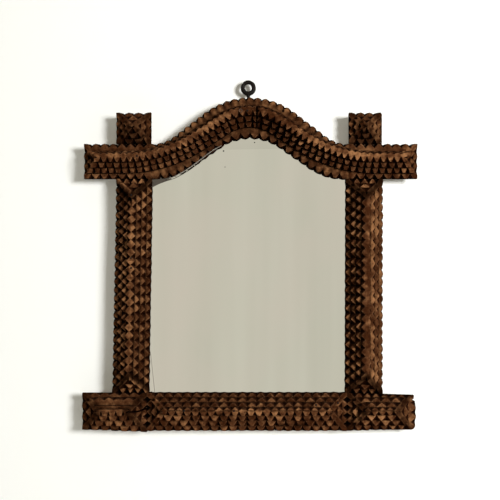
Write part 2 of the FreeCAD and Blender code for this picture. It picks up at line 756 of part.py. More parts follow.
def glass_and_backing():
    """The mirror lies against the carving's back, and the backing board lies against the mirror."""
    glass = new_body("mirror_glass", "carcass_thickness - glass_thickness")
    pad(glass, "mirror_glass_sheet", opening_outline("glass_gap"), "glass_thickness")
    backing = new_body("backing_board", "carcass_thickness - glass_thickness - backing_thickness")
    pad(backing, "backing_board_sheet", opening_outline("glass_gap"), "backing_thickness")


EYE_RADIUS = "((eye_outer - eye_wire) / 2)"
EYE_TIP = "(arm_foot + arm_height + head_rise - arch_inset - eye_shank)"


def screw_eye():
    """A closed ring of thick wire, beaten to flats, on a thinner shank with a ground point."""
    body = new_body("screw_eye", "carcass_thickness / 2")
    shank_foot = f"({EYE_TIP} + eye_point)"
    profile = new_sketch(body, "eye_shank_profile")
    profile.setExpression("AttachmentOffset.Base.x", "-Sizes.eye_offset")
    draw(profile, [
        ("0", EYE_TIP, None),
        ("eye_neck / 2", shank_foot, None),
        ("eye_neck / 2", f"eye_height - {EYE_RADIUS}", None),
        ("0", f"eye_height - {EYE_RADIUS}", None),
    ])
    shank = body.newObject("PartDesign::Revolution", "eye_shank")
    shank.Profile = profile
    shank.ReferenceAxis = (profile, ["V_Axis"])
    shank.Angle = 360
    shank.Refine = False
    # The section is drawn across the ring's side and swung about the ring's middle.
    section = new_sketch(body, "eye_section", "XZ_Plane")
    section.setExpression("AttachmentOffset.Base.x", "-Sizes.eye_offset")
    section.setExpression("AttachmentOffset.Base.z", "-Sizes.eye_height")
    flats = int(number("eye_flats"))
    turns = [f"({index} + 1 / 2) * 360deg / eye_flats" for index in range(flats)]
    draw(section, [
        (f"{EYE_RADIUS} + eye_wire / 2 * cos({turn})", f"eye_wire / 2 * sin({turn})", None)
        for turn in turns
    ])
    ring = body.newObject("PartDesign::Revolution", "eye_ring")
    ring.Profile = section
    ring.ReferenceAxis = (section, ["V_Axis"])
    ring.Angle = 360
    ring.Refine = False
    body.Tip = ring


bottom_rail()
stiles()
arm_base_strips()
arch_base_strip()
TOP_PITCHES = {1: "top_second_pitch", 2: "top_third_pitch", 3: "top_ridge_pitch"}
for arch_side in (-1, 1):
    for arch_layer, arch_pitch in TOP_PITCHES.items():
        arch_stack_strip(arch_side, arch_layer, arch_pitch)
stubs()
stile_boards()
bottom_board()
top_board()
glass_and_backing()
screw_eye()
doc.recompute()

for item in doc.Objects:
    if "Invalid" in item.State or "Error" in item.State:
        raise RuntimeError(f"{item.Name} did not compute: {item.State}")
triangles = 0
for body in bodies:
    shape = body.Shape
    if shape.isNull() or not shape.isValid():
        raise RuntimeError(f"{body.Label} has no valid shape")
    if len(shape.Solids) != 1:
        raise RuntimeError(f"{body.Label} has {len(shape.Solids)} solids")
    shape.exportStep(f"parts/{body.Label}.step")
    triangles += len(shape.tessellate(0.1)[1])
    print(body.Label, round(shape.Volume), round(body.Tip.Shape.BoundBox.XLength, 1), len(shape.Faces))
print(len(bodies), "sub-parts,", triangles, "triangles")
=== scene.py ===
import math
import random

import bmesh
import bpy
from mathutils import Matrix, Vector, kdtree, noise
from mathutils.bvhtree import BVHTree


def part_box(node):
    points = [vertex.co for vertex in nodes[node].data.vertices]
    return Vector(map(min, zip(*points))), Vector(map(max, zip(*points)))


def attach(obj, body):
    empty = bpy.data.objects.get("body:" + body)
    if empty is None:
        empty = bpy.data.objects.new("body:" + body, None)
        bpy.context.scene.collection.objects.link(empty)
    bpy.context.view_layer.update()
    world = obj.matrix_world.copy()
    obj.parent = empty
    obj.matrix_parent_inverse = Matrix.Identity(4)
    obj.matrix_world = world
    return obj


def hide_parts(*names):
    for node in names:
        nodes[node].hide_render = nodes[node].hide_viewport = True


# The looks of a chip-carved wall mirror: stained wood cut by hand, old silvered glass, dark iron.
# Metres, in the part's own frame: X to the right, Z up, the front towards -Y.

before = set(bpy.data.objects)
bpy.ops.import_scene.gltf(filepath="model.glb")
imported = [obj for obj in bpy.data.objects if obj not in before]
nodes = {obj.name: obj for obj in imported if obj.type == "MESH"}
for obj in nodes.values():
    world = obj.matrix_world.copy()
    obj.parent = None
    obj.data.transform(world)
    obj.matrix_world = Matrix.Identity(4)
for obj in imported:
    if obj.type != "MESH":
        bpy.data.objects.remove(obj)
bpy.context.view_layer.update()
MM = 0.001

# Without a seed the noise takes one from the clock, and each run cuts the strips a little differently.
NOISE_SEED = 1
noise.seed_set(NOISE_SEED)


# Places taken from the frame

boxes = {name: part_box(name) for name in nodes}


def low(node):
    return boxes[node][0]


def high(node):
    return boxes[node][1]


def inset(node, place):
    """How far a place lies in from a node's nearer side, and from its nearer end above or below."""
    beside = min(place.x - low(node).x, high(node).x - place.x)
    beyond = min(place.z - low(node).z, high(node).z - place.z)
    return beside, beyond


UP, DOWN = Vector((0, 0, 1)), Vector((0, 0, -1))
LEFT, RIGHT = Vector((-1, 0, 0)), Vector((1, 0, 0))
FORWARD, BACKWARD = Vector((0, -1, 0)), Vector((0, 1, 0))
BACK = high("bottom_rail_board").y
BASE_FACE = low("bottom_middle_base_strip").y
FOOT = low("bottom_middle_base_strip").z
MIDDLE = (low("arch_base_strip").x + high("arch_base_strip").x) / 2
CROWN_SEAM = low("right_arch_ridge_strip").x
TOP_LAP = (low("left_arm_base_strip").z + high("left_arm_base_strip").z) / 2
BOTTOM_LAP = (low("bottom_rail_board").z + high("bottom_rail_board").z) / 2


# Objects and meshes

WELD = 0.002 * MM
ROUND_SIDES = 20
TURNS = [2 * math.pi * side / ROUND_SIDES for side in range(ROUND_SIDES)]


def placed(name, data):
    """A new object of the scene, from a mesh, a lamp or a camera."""
    made = bpy.data.objects.new(name, data)
    bpy.context.scene.collection.objects.link(made)
    return made


def kept_mesh(name, mesh):
    """The mesh data of a bmesh, which is freed."""
    data = bpy.data.meshes.new(name)
    mesh.to_mesh(data)
    mesh.free()
    return data


def joined(points, faces):
    """A bmesh of points and faces, with doubled points joined and every face turned outwards."""
    mesh = bmesh.new()
    corners = [mesh.verts.new(point) for point in points]
    for face in faces:
        mesh.faces.new([corners[corner] for corner in face])
    bmesh.ops.remove_doubles(mesh, verts=mesh.verts, dist=WELD)
    bmesh.ops.recalc_face_normals(mesh, faces=mesh.faces)
    return mesh


def swept(rings):
    """The points and the side faces of a tube through rings of points."""
    count = len(rings[0])
    faces = []
    for step in range(len(rings) - 1):
        for side in range(count):
            after = (side + 1) % count
            faces.append((step * count + side, step * count + after,
                          (step + 1) * count + after, (step + 1) * count + side))
    return [point for ring in rings for point in ring], faces


# Camera

PHOTO_PIXELS = 500
PHOTO_SIZE = 0.5
CAMERA_DISTANCE = 0.8
CAMERA_HEIGHT = 0.143
PICTURE_HEIGHT = 0.181
CAMERA = Vector((MIDDLE, BASE_FACE - CAMERA_DISTANCE, FOOT + CAMERA_HEIGHT))
PICTURE_MIDDLE = FOOT + PICTURE_HEIGHT
SENSOR = 36


def camera():
    data = bpy.data.cameras.new("camera")
    data.sensor_width = SENSOR
    data.lens = SENSOR * CAMERA_DISTANCE / PHOTO_SIZE
    data.shift_y = (PICTURE_MIDDLE - CAMERA.z) / PHOTO_SIZE
    made = placed("camera", data)
    made.location = CAMERA
    made.rotation_euler = (math.radians(90), 0, 0)
    bpy.context.scene.camera = made


def photo_place(pixel, depth=BASE_FACE):
    """The place that a pixel of the photograph shows, in the upright plane at a depth."""
    across, down = (value / PHOTO_PIXELS - 0.5 for value in pixel)
    place = Vector((MIDDLE + across * PHOTO_SIZE, BASE_FACE, PICTURE_MIDDLE - down * PHOTO_SIZE))
    return CAMERA + (place - CAMERA) * (depth - CAMERA.y) / CAMERA_DISTANCE


# Nodes of a material

class Shader:
    """A material's node tree, with short calls for the nodes that the finishes use."""

    def __init__(self, name):
        self.material = bpy.data.materials.new(name)
        self.material.use_nodes = True
        self.tree = self.material.node_tree
        self.tree.nodes.clear()
        self.output = self.node("ShaderNodeOutputMaterial")
        self.place = self.node("ShaderNodeTexCoord").outputs["Object"]

    def node(self, kind, **settings):
        made = self.tree.nodes.new(kind)
        for name, value in settings.items():
            setattr(made, name, value)
        return made

    def join(self, start, end):
        self.tree.links.new(start, end)

    def feed(self, socket, value):
        """Links a socket to another, or sets it to a plain value."""
        if isinstance(value, bpy.types.NodeSocket):
            self.join(value, socket)
        else:
            socket.default_value = value

    def stretched(self, scale, offset=(0, 0, 0)):
        """The place in the part, scaled along each axis."""
        made = self.node("ShaderNodeMapping")
        made.inputs["Scale"].default_value = scale
        made.inputs["Location"].default_value = offset
        self.join(self.place, made.inputs["Vector"])
        return made.outputs["Vector"]

    def clouds(self, place, detail=3.0, roughness=0.5, distortion=0.0):
        """Soft noise from 0 to 1."""
        made = self.node("ShaderNodeTexNoise")
        self.join(place, made.inputs["Vector"])
        made.inputs["Scale"].default_value = 1
        made.inputs["Detail"].default_value = detail
        made.inputs["Roughness"].default_value = roughness
        made.inputs["Distortion"].default_value = distortion
        return made.outputs["Fac"]

    def curve(self, value, stops):
        """A ramp of greys or colours; stops are (place, grey or colour)."""
        made = self.node("ShaderNodeValToRGB")
        ramp = made.color_ramp
        while len(ramp.elements) < len(stops):
            ramp.elements.new(0.5)
        for element, (place, colour) in zip(ramp.elements, stops):
            element.position = place
            element.color = (*colour, 1) if isinstance(colour, tuple) else (colour, colour, colour, 1)
        self.join(value, made.inputs["Fac"])
        return made.outputs["Color"]

    def maths(self, kind, first, second):
        made = self.node("ShaderNodeMath", operation=kind)
        self.feed(made.inputs[0], first)
        self.feed(made.inputs[1], second)
        return made.outputs[0]

    def mix(self, share, first, second, blend="MIX"):
        """Two colours mixed; share, first and second are sockets or plain values."""
        made = self.node("ShaderNodeMix", data_type="RGBA", blend_type=blend)
        self.feed(made.inputs["Factor"], share)
        for name, value in (("A", first), ("B", second)):
            socket = next(s for s in made.inputs if s.name == name and s.type == "RGBA")
            self.feed(socket, (*value, 1) if isinstance(value, tuple) else value)
        return next(s for s in made.outputs if s.type == "RGBA")

    def shaded(self, colour, shade):
        """A colour multiplied by a grey or by another colour."""
        return self.mix(1.0, colour, shade, blend="MULTIPLY")

    def attribute(self, name):
        return self.node("ShaderNodeAttribute", attribute_name=name).outputs["Fac"]

    def openness(self, reach):
        """How much open room a place has around it, from 0 in a closed corner to 1."""
        made = self.node("ShaderNodeAmbientOcclusion", samples=6)
        made.inputs["Distance"].default_value = reach
        return made.outputs["AO"]

    def upward(self):
        """How far the surface looks up, from -1 to 1."""
        split = self.node("ShaderNodeSeparateXYZ")
        self.join(self.node("ShaderNodeNewGeometry").outputs["True Normal"], split.inputs[0])
        return split.outputs["Z"]

    def finish(self, colour, roughness, bump=None, strength=0.3, distance=0.0003, **constants):
        surface = self.node("ShaderNodeBsdfPrincipled")
        self.feed(surface.inputs["Base Color"], colour)
        self.feed(surface.inputs["Roughness"], roughness)
        for name, value in constants.items():
            surface.inputs[name.replace("_", " ")].default_value = value
        if bump is not None:
            made = self.node("ShaderNodeBump")
            made.inputs["Strength"].default_value = strength
            made.inputs["Distance"].default_value = distance
            self.join(bump, made.inputs["Height"])
            self.join(made.outputs["Normal"], surface.inputs["Normal"])
        self.join(surface.outputs["BSDF"], self.output.inputs["Surface"])
        return self.material


# Finishes of the wood

GRAIN_ALONG_X = (70, 1000, 1000)
GRAIN_ALONG_Z = (1000, 1000, 70)
FACE_TONES = [(0.34, (0.044, 0.0138, 0.0048)), (0.50, (0.106, 0.0410, 0.0165)),
              (0.68, (0.305, 0.138, 0.057))]
# The cut walls' wood, painted much darker than the faces as shade.
SHADED_WALL_TONES = [(0.25, (0.016, 0.0034, 0.0010)), (0.50, (0.036, 0.0095, 0.0030)),
              (0.75, (0.078, 0.0270, 0.0095))]
# Edges rubbed golden by wear, lightened further as a painted glint.
WORN_EDGE_AND_GLINT = (0.240, 0.125, 0.060)
# Dust on faces that look up, with a painted sheen of light from above.
DUST_AND_SHEEN = (0.100, 0.060, 0.038)
# Painted shade: the near-black that the wood takes where a strip is marked as shaded.
PAINTED_SHADE_COLOUR = (0.0035, 0.0012, 0.0005)
# How far the painted shade of crevices looks for surfaces that close a place in.
CREVICE_SHADE_REACH = 5 * MM


def carved_wood(name, grain_scale, seed):
    """Dark stained wood: rubbed golden on its faces and edges, with painted glints on the edges, a painted
    sheen on faces that look up, and painted shade that makes it near-black deep in its cuts and on faces
    that look down.
    """
    make = Shader(name)
    away = (seed * 3.1, seed * 1.7, seed * 2.3)
    grain = make.clouds(make.stretched(grain_scale, away), detail=6, roughness=0.65, distortion=0.4)
    fine = make.clouds(make.stretched(tuple(3 * s for s in grain_scale), away), detail=4, roughness=0.6)
    teeth = make.clouds(make.stretched((230, 230, 230), away), detail=1)
    patches = make.clouds(make.stretched((45, 45, 45), away), detail=4, roughness=0.55)
    pits = make.clouds(make.stretched((620, 620, 620), away), detail=3, roughness=0.6)
    rubbed = make.maths("ADD", make.maths("MULTIPLY", teeth, 0.40), make.maths("MULTIPLY", patches, 0.40))
    # Each strip's marked tone, which also carries the painted shade in its corners.
    rubbed = make.maths("ADD", rubbed, make.attribute("tone"))
    streaks = make.curve(grain, [(0.25, 0.62), (0.55, 1.0), (0.8, 1.12)])
    face = make.shaded(make.curve(rubbed, FACE_TONES), streaks)
    # Cut faces take the wall tones, which carry painted shade.
    colour = make.mix(make.attribute("cut"), face, make.curve(grain, SHADED_WALL_TONES))
    # Rubbed edges, with a painted glint on them.
    worn = make.maths("MULTIPLY", make.attribute("edge"), make.curve(teeth, [(0.35, 0.1), (0.65, 0.8)]))
    colour = make.mix(worn, colour, WORN_EDGE_AND_GLINT)
    # Dust and a painted sheen on faces that look up, in patches.
    dust_and_sheen = make.maths("MULTIPLY", make.curve(make.upward(), [(0.25, 0.0), (0.8, 1.0)]),
                      make.curve(patches, [(0.35, 0.04), (0.7, 0.28)]))
    colour = make.mix(dust_and_sheen, colour, DUST_AND_SHEEN)
    # Painted shade: darker deeper into each cut, towards the layer below.
    deep = make.curve(make.attribute("depth"), [(0.0, 1.0), (0.12, 0.74), (0.45, 0.34), (1.0, 0.12)])
    # Painted shade on faces that look down.
    underside_shade = make.curve(make.maths("MULTIPLY", make.upward(), -1), [(0.35, 1.0), (0.75, 0.30)])
    # Painted shade in crevices, darker where a place is closed in.
    crevice_shade = make.curve(make.openness(CREVICE_SHADE_REACH), [(0.30, 0.16), (0.55, 0.50), (0.80, 1.0)])
    for shade in (deep, make.curve(pits, [(0.30, 0.35), (0.44, 0.92), (0.75, 1.12)]), underside_shade, crevice_shade):
        colour = make.shaded(colour, shade)
    # Painted shade, marked on the strips, blackens the wood here.
    colour = make.mix(make.attribute("painted_shade"), colour, PAINTED_SHADE_COLOUR)
    roughness = make.curve(fine, [(0.2, 0.46), (0.8, 0.66)])
    height = make.maths("ADD", make.maths("MULTIPLY", grain, 0.6), make.maths("MULTIPLY", fine, 0.4))
    return make.finish(colour, roughness, height, strength=0.35, distance=0.0004, Specular_IOR_Level=0.0)


def plain_wood(name, grain_scale, light, dark, seed):
    """Sawn softwood of the carcass, stained by age, with open grain."""
    make = Shader(name)
    away = (seed * 2.7, seed * 3.9, seed * 1.3)
    grain = make.clouds(make.stretched(grain_scale, away), detail=7, roughness=0.7, distortion=0.6)
    bands = make.clouds(make.stretched(tuple(s * 0.22 for s in grain_scale), away), detail=3)
    dirt = make.clouds(make.stretched((26, 26, 26), away), detail=5, roughness=0.6)
    mixed = make.maths("ADD", make.maths("MULTIPLY", grain, 0.55), make.maths("MULTIPLY", bands, 0.45))
    wood = make.curve(mixed, [(0.36, dark), (0.62, light)])
    colour = make.mix(make.curve(dirt, [(0.5, 0.0), (0.8, 0.6)]), wood, tuple(0.45 * c for c in dark))
    roughness = make.curve(grain, [(0.2, 0.6), (0.8, 0.82)])
    return make.finish(colour, roughness, grain, strength=0.5, distance=0.0004, Specular_IOR_Level=0.2)


# Finish of the glass: its band of painted reflection, specks and scratch are placed by pixels, specks with
# sizes in millimetres

REFLECTION_BAND = (200, 147)
SPECKS = [((223.5, 151), 0.8), ((254.6, 142.5), 0.6), ((225, 167), 0.5), ((151.5, 392), 0.6)]
SPECK_COLOUR = (0.05, 0.045, 0.035)
SCRATCH = ((150.7, 354), (155, 395))
SCRATCH_HALF_WIDTH = 0.4 * MM
SCRATCH_COLOUR = (0.20, 0.18, 0.14)


def old_mirror():
    """Silvering seen through old glass: warm grey, faintly banded, with a few dark specks and a scratch."""
    make = Shader("old_mirror")
    glass = low("mirror_glass").y
    bands = make.clouds(make.stretched((38, 1, 2.2)), detail=2, roughness=0.4)
    soft = make.clouds(make.stretched((9, 1, 7)), detail=2)
    spots = make.clouds(make.stretched((260, 1, 260)), detail=1)
    blush = make.clouds(make.stretched((11, 1, 8), (0.4, 0, 0.9)), detail=4)
    banded = make.curve(bands, [(0.3, 0.0), (0.7, 1.0)])
    tone = make.mix(banded, (0.500, 0.484, 0.388), (0.562, 0.545, 0.444))
    tone = make.mix(make.curve(soft, [(0.35, 0.0), (0.75, 0.5)]), tone, (0.530, 0.505, 0.400))
    split = make.node("ShaderNodeSeparateXYZ")
    make.join(make.place, split.inputs[0])
    height = split.outputs["Z"]
    wavy = make.maths("ADD", height, make.maths("MULTIPLY", soft, 0.004))
    # Painted reflection: the glass is darker at its head, above the band.
    above = make.maths("GREATER_THAN", wavy, photo_place(REFLECTION_BAND, glass).z)
    tone = make.mix(above, tone, make.shaded(tone, (0.915, 0.915, 0.910)))
    tone = make.mix(make.curve(blush, [(0.42, 0.0), (0.70, 0.6)]), tone, (0.575, 0.515, 0.425))
    for pixel, size in SPECKS:
        apart = make.node("ShaderNodeVectorMath", operation="DISTANCE")
        make.join(make.place, apart.inputs[0])
        apart.inputs[1].default_value = photo_place(pixel, glass)
        inside = make.maths("LESS_THAN", apart.outputs["Value"], size * MM)
        tone = make.mix(inside, tone, SPECK_COLOUR)
    start, end = (photo_place(pixel, glass) for pixel in SCRATCH)
    across = (end - start).normalized().cross(BACKWARD)
    beside = make.node("ShaderNodeVectorMath", operation="DOT_PRODUCT")
    make.join(make.place, beside.inputs[0])
    beside.inputs[1].default_value = across
    off = make.maths("ABSOLUTE", make.maths("SUBTRACT", beside.outputs["Value"], start.dot(across)), 0)
    line = make.maths("MULTIPLY", make.maths("LESS_THAN", off, SCRATCH_HALF_WIDTH),
                      make.maths("LESS_THAN", height, start.z))
    tone = make.mix(make.maths("MULTIPLY", line, 0.55), tone, SCRATCH_COLOUR)
    colour = make.mix(make.curve(spots, [(0.84, 0.0), (0.87, 0.5)]), tone, (0.30, 0.28, 0.22))
    roughness = make.curve(soft, [(0.3, 0.02), (0.8, 0.06)])
    return make.finish(colour, roughness, Metallic=1.0)


# Finish of the iron

IRON_TONES = [(0.35, (0.0030, 0.0022, 0.0018)), (0.58, (0.0065, 0.0042, 0.0030)),
              (0.80, (0.026, 0.013, 0.007))]


def dark_iron(name="dark_iron", paler=1):
    """Hand-made wire, blackened, with a little brown rust."""
    make = Shader(name)
    rust = make.clouds(make.stretched((420, 420, 420)), detail=5, roughness=0.65)
    colour = make.curve(rust, [(place, tuple(paler * c for c in tone)) for place, tone in IRON_TONES])
    roughness = make.curve(rust, [(0.3, 0.36), (0.7, 0.60)])
    return make.finish(colour, roughness, rust, strength=0.4, distance=0.0003, Specular_IOR_Level=0.07)


# Wall and floor

WALL_GLOW = 0.12
WALL_GAP = 1.5 * MM
WALL_HALF_WIDTH = 1.6
WALL_TOP = 1.2
FLOOR_DROP = 0.9
FLOOR_DEPTH = 1.1


def white_stage():
    """A white wall and floor that take shadows, seen as white, and let a view from behind through."""
    make = Shader("white_stage")
    path = make.node("ShaderNodeLightPath")
    seen = make.maths("MAXIMUM", path.outputs["Is Camera Ray"], path.outputs["Is Glossy Ray"])
    seen = make.maths("MAXIMUM", seen, path.outputs["Is Transmission Ray"])
    matt = make.node("ShaderNodeBsdfDiffuse")
    matt.inputs["Color"].default_value = (0.86, 0.86, 0.85, 1)
    glow = make.node("ShaderNodeEmission")
    glow.inputs["Color"].default_value = (1, 0.96, 0.78, 1)
    make.join(make.maths("MULTIPLY", seen, WALL_GLOW), glow.inputs["Strength"])
    lit = make.node("ShaderNodeAddShader")
    make.join(matt.outputs[0], lit.inputs[0])
    make.join(glow.outputs[0], lit.inputs[1])
    clear = make.node("ShaderNodeBsdfTransparent")
    behind = make.node("ShaderNodeNewGeometry").outputs["Backfacing"]
    through = make.maths("MAXIMUM", behind, path.outputs["Is Shadow Ray"])
    both = make.node("ShaderNodeMixShader")
    make.join(through, both.inputs[0])
    make.join(lit.outputs[0], both.inputs[1])
    make.join(clear.outputs[0], both.inputs[2])
    make.join(both.outputs[0], make.output.inputs["Surface"])
    return make.material


def flat_sheet(name, corners, material):
    """A stage sheet whose face looks towards the part."""
    mesh = bpy.data.meshes.new(name)
    mesh.from_pydata(corners, [], [tuple(range(len(corners)))])
    mesh.materials.append(material)
    made = placed(name, mesh)


def stage():
    white = white_stage()
    wall, floor = BACK + WALL_GAP, FOOT - FLOOR_DROP
    front = wall - FLOOR_DEPTH
    side = WALL_HALF_WIDTH
    flat_sheet("wall", [(-side, wall, floor), (side, wall, floor),
                        (side, wall, WALL_TOP), (-side, wall, WALL_TOP)], white)
    flat_sheet("floor", [(-side, front, floor), (side, front, floor),
                         (side, wall, floor), (-side, wall, floor)], white)


# Lights: for each lamp its distance, azimuth, elevation, size, level and colour

LAMPS = {
    "main_lamp": (1.8, 38, 7.5, 0.46, 1.26, (0.99, 1.0, 0.98)),
    "room_lamp": (2.0, -12, 8, 2.2, 0.16, (1.0, 0.93, 0.72)),
    "top_lamp": (1.7, 10, 60, 0.9, 0.10, (1.0, 0.98, 0.95)),
    "back_lamp": (1.6, 150, 35, 0.9, 0.55, (1.0, 0.99, 0.97)),
    "back_fill_lamp": (1.8, -150, 15, 1.2, 0.25, (0.97, 0.985, 1.0)),
}
NOT_REFLECTED = "room_lamp"
AMBIENT = 0.03


def area_lamp(name, aim, distance, azimuth, elevation, size, level, colour):
    """A soft square lamp that gives its level, as a share of full white, at the point it aims at.

    Azimuth turns from straight ahead towards the right, elevation upwards, both in degrees.
    """
    turn, lift = math.radians(azimuth), math.radians(elevation)
    towards = Vector((math.sin(turn) * math.cos(lift), -math.cos(turn) * math.cos(lift), math.sin(lift)))
    data = bpy.data.lights.new(name, "AREA")
    data.shape = "SQUARE"
    data.size = size
    data.energy = level * (math.pi * distance) ** 2
    data.color = colour
    made = placed(name, data)
    made.location = Vector(aim) + towards * distance
    made.rotation_euler = towards.to_track_quat("Z", "Y").to_euler()
    made.visible_camera = False
    made.visible_glossy = name != NOT_REFLECTED


def lights():
    for name, settings in LAMPS.items():
        area_lamp(name, (MIDDLE, 0, PICTURE_MIDDLE), *settings)


def surroundings():
    """A world that is white where it is seen or reflected, and gives little light."""
    world = bpy.data.worlds.new("world")
    world.use_nodes = True
    tree = world.node_tree
    back = tree.nodes["Background"]
    path = tree.nodes.new("ShaderNodeLightPath")
    seen = tree.nodes.new("ShaderNodeMath")
    seen.operation = "MAXIMUM"
    tree.links.new(path.outputs["Is Camera Ray"], seen.inputs[0])
    tree.links.new(path.outputs["Is Glossy Ray"], seen.inputs[1])
    wider = tree.nodes.new("ShaderNodeMath")
    wider.operation = "MAXIMUM"
    tree.links.new(seen.outputs[0], wider.inputs[0])
    tree.links.new(path.outputs["Is Transmission Ray"], wider.inputs[1])
    level = tree.nodes.new("ShaderNodeMapRange")
    level.inputs["To Min"].default_value = AMBIENT
    level.inputs["To Max"].default_value = 1.0
    tree.links.new(wider.outputs[0], level.inputs["Value"])
    tree.links.new(level.outputs[0], back.inputs["Strength"])
    back.inputs["Color"].default_value = (1, 1, 1, 1)
    bpy.context.scene.world = world


# Carved strips: their shape

LEAST_NOTCH = 0.5 * MM
FLAT_ANGLE = math.radians(1.5)
SHARP_ANGLE = math.radians(25)
KNIFE_WANDER = 0.34 * MM
WANDER_SIZE = 5 * MM
WANDER_APART = 7.3
EDGE_WEAR = 0.10 * MM
TIP_DROP = 0.22 * MM
TIP_REACH = 2.4 * MM
BROKEN_CHANCE = 0.035
BROKEN_DROP = 2.4 * MM
BROKEN_REACH = 3.4 * MM
LEAST_DROP_SHARE = 0.4
LONGEST_EDGE = 5 * MM
EVEN_STEPS = 2
FINER_STEPS = 4
CORNER_NEAR = 0.7 * MM
CORNER_CUT = 3.4 * MM
RIDGE_CORNER_CUT = 1.9 * MM
SEAM_GAP = 1.8 * MM
SEAM_REACH = 0.8 * MM

# The rows of notches that are recut in each kind of strip: the way that a row faces, the extra depth of its
# notches and the extra width of its teeth, in millimetres. A strip takes the first kind found in its name.

FACING_SHARE = 0.45
ROWS = {
    "right_arch_second": [(DOWN, 2.6, -0.6), (UP, -0.7, 0)],
    "right_arch_third": [(DOWN, 2.6, -0.6), (UP, -0.7, 0)],
    "left_arch_second": [(DOWN, 2.6, -0.3), (UP, -0.7, 0)],
    "left_arch_third": [(DOWN, 2.6, -0.3), (UP, -0.7, 0)],
    "arch_ridge": [(DOWN, 1.9, 0.2), (UP, -2.1, 0.2)],
    "arch_base": [(DOWN, 1.0, -0.3)],
    "arm_base": [(DOWN, 0.8, -0.2)],
    "stub": [(DOWN, 1.4, 1.0), (UP, -0.4, 0), (LEFT, -1.7, 0), (RIGHT, -1.7, 0)],
    "bottom_left": [(UP, -1.6, 0), (DOWN, 1.8, 0.9)],
    "bottom_middle": [(DOWN, 1.5, 0.15)],
    "bottom_right": [(DOWN, 1.6, -0.1), (RIGHT, -0.6, 0)],
    "left_stile": [(RIGHT, 0.5, -0.2), (LEFT, 0.3, 0), (UP, 1.0, 0), (DOWN, 1.4, 0)],
    "right_stile": [(RIGHT, -1.9, 0.2), (LEFT, 0.5, -0.2), (UP, 1.0, 0), (DOWN, 1.4, 0)],
}


def clean_copy(node):
    """A strip's solid as a bmesh, with its corners joined and its flat faces whole."""
    mesh = bmesh.new()
    mesh.from_mesh(nodes[node].data)
    bmesh.ops.remove_doubles(mesh, verts=mesh.verts, dist=WELD)
    bmesh.ops.dissolve_limit(mesh, angle_limit=FLAT_ANGLE, verts=mesh.verts, edges=mesh.edges)
    return mesh


def front_outline(mesh):
    """The corners of a strip's front face in order, and for each whether it is a notch's root."""
    face = max((f for f in mesh.faces if f.normal.y < -0.9), key=lambda f: f.calc_area())
    loop = list(face.verts)
    places = [v.co.copy() for v in loop]
    is_root = []
    for index, here in enumerate(places):
        before, after = places[index - 1], places[(index + 1) % len(places)]
        turn = (here - before).cross(after - here).y
        is_notch = (here - (before + after) / 2).length > LEAST_NOTCH
        is_root.append(is_notch and turn * face.normal.y <= 0)
    return loop, places, is_root


def recut(mesh, node):
    """Cuts each row's notches deeper or shallower, and its teeth wider or narrower, as the knife did."""
    rows = next((rows for kind, rows in ROWS.items() if kind in node), [])
    loop, places, is_root = front_outline(mesh)
    for index, here in enumerate(places):
        if not is_root[index]:
            continue
        before, after = places[index - 1], places[(index + 1) % len(places)]
        inward = (here - (before + after) / 2).normalized()
        for facing, extra_depth, extra_width in rows:
            if inward.dot(facing) < -FACING_SHARE:
                loop[index].co = here + inward * (extra_depth * MM)
                across = (after - before).normalized()
                loop[index - 1].co += across * (extra_width * MM)
                loop[(index + 1) % len(loop)].co -= across * (extra_width * MM)


def notch_corners(mesh, node):
    """Notches the corners of a strip of the upper layers, where two rows of teeth meet."""
    if "base" in node or "arch" in node:
        return
    cut = RIDGE_CORNER_CUT if "ridge" in node else CORNER_CUT
    middle = (low(node) + high(node)) / 2
    for vertex in mesh.verts:
        if max(inset(node, vertex.co)) < CORNER_NEAR:
            vertex.co.x += math.copysign(cut, middle.x - vertex.co.x)
            vertex.co.z += math.copysign(cut, middle.z - vertex.co.z)


def open_seam(mesh, node):
    """Draws the end of the right half of the arch's stack back from the seam."""
    if not node.startswith("right_arch"):
        return
    seam = low(node).x
    for vertex in mesh.verts:
        if vertex.co.x < seam + SEAM_REACH:
            vertex.co.x += SEAM_GAP


def uneven(mesh, seed):
    """Moves each cut a little in the strip's plane, alike through its thickness."""
    for vertex in mesh.verts:
        place = Vector((vertex.co.x / WANDER_SIZE, seed * WANDER_APART, vertex.co.z / WANDER_SIZE))
        move = noise.noise_vector(place)
        vertex.co.x += move.x * KNIFE_WANDER
        vertex.co.z += move.z * KNIFE_WANDER


def wear_edges(mesh, back):
    """A narrow flat along every sharp edge but those that lie on the layer below."""
    sharp = [e for e in mesh.edges if len(e.link_faces) == 2 and e.calc_face_angle(0) > SHARP_ANGLE
             and e.is_convex and not all(v.co.y > back - WELD for v in e.verts)]
    made = bmesh.ops.bevel(mesh, geom=sharp, offset=EDGE_WEAR, offset_type="OFFSET", segments=1,
                           profile=0.5, affect="EDGES", clamp_overlap=True)
    return set(made["faces"])


def share_near(distance, reach):
    """A share that falls from 1 at no distance to 0 at the reach."""
    return max(0, 1 - distance / reach)


def tree_of(points):
    """A search tree of points as they are seen from the front."""
    tree = kdtree.KDTree(len(points))
    for index, point in enumerate(points):
        tree.insert((point.x, 0, point.z), index)
    tree.balance()
    return tree


def nearest(tree, place):
    """Which point of a tree is nearest to a place, and how far off it is."""
    index, distance = tree.find((place.x, 0, place.z))[1:]
    return index, distance


def split_evenly(mesh):
    """Splits the long edges, so that tones and wear have corners to lie on."""
    bmesh.ops.triangulate(mesh, faces=mesh.faces, ngon_method="BEAUTY")
    for step in range(EVEN_STEPS):
        long_edges = [e for e in mesh.edges if e.calc_length() > LONGEST_EDGE]
        bmesh.ops.subdivide_edges(mesh, edges=long_edges, cuts=1)
        bmesh.ops.triangulate(mesh, faces=mesh.faces)


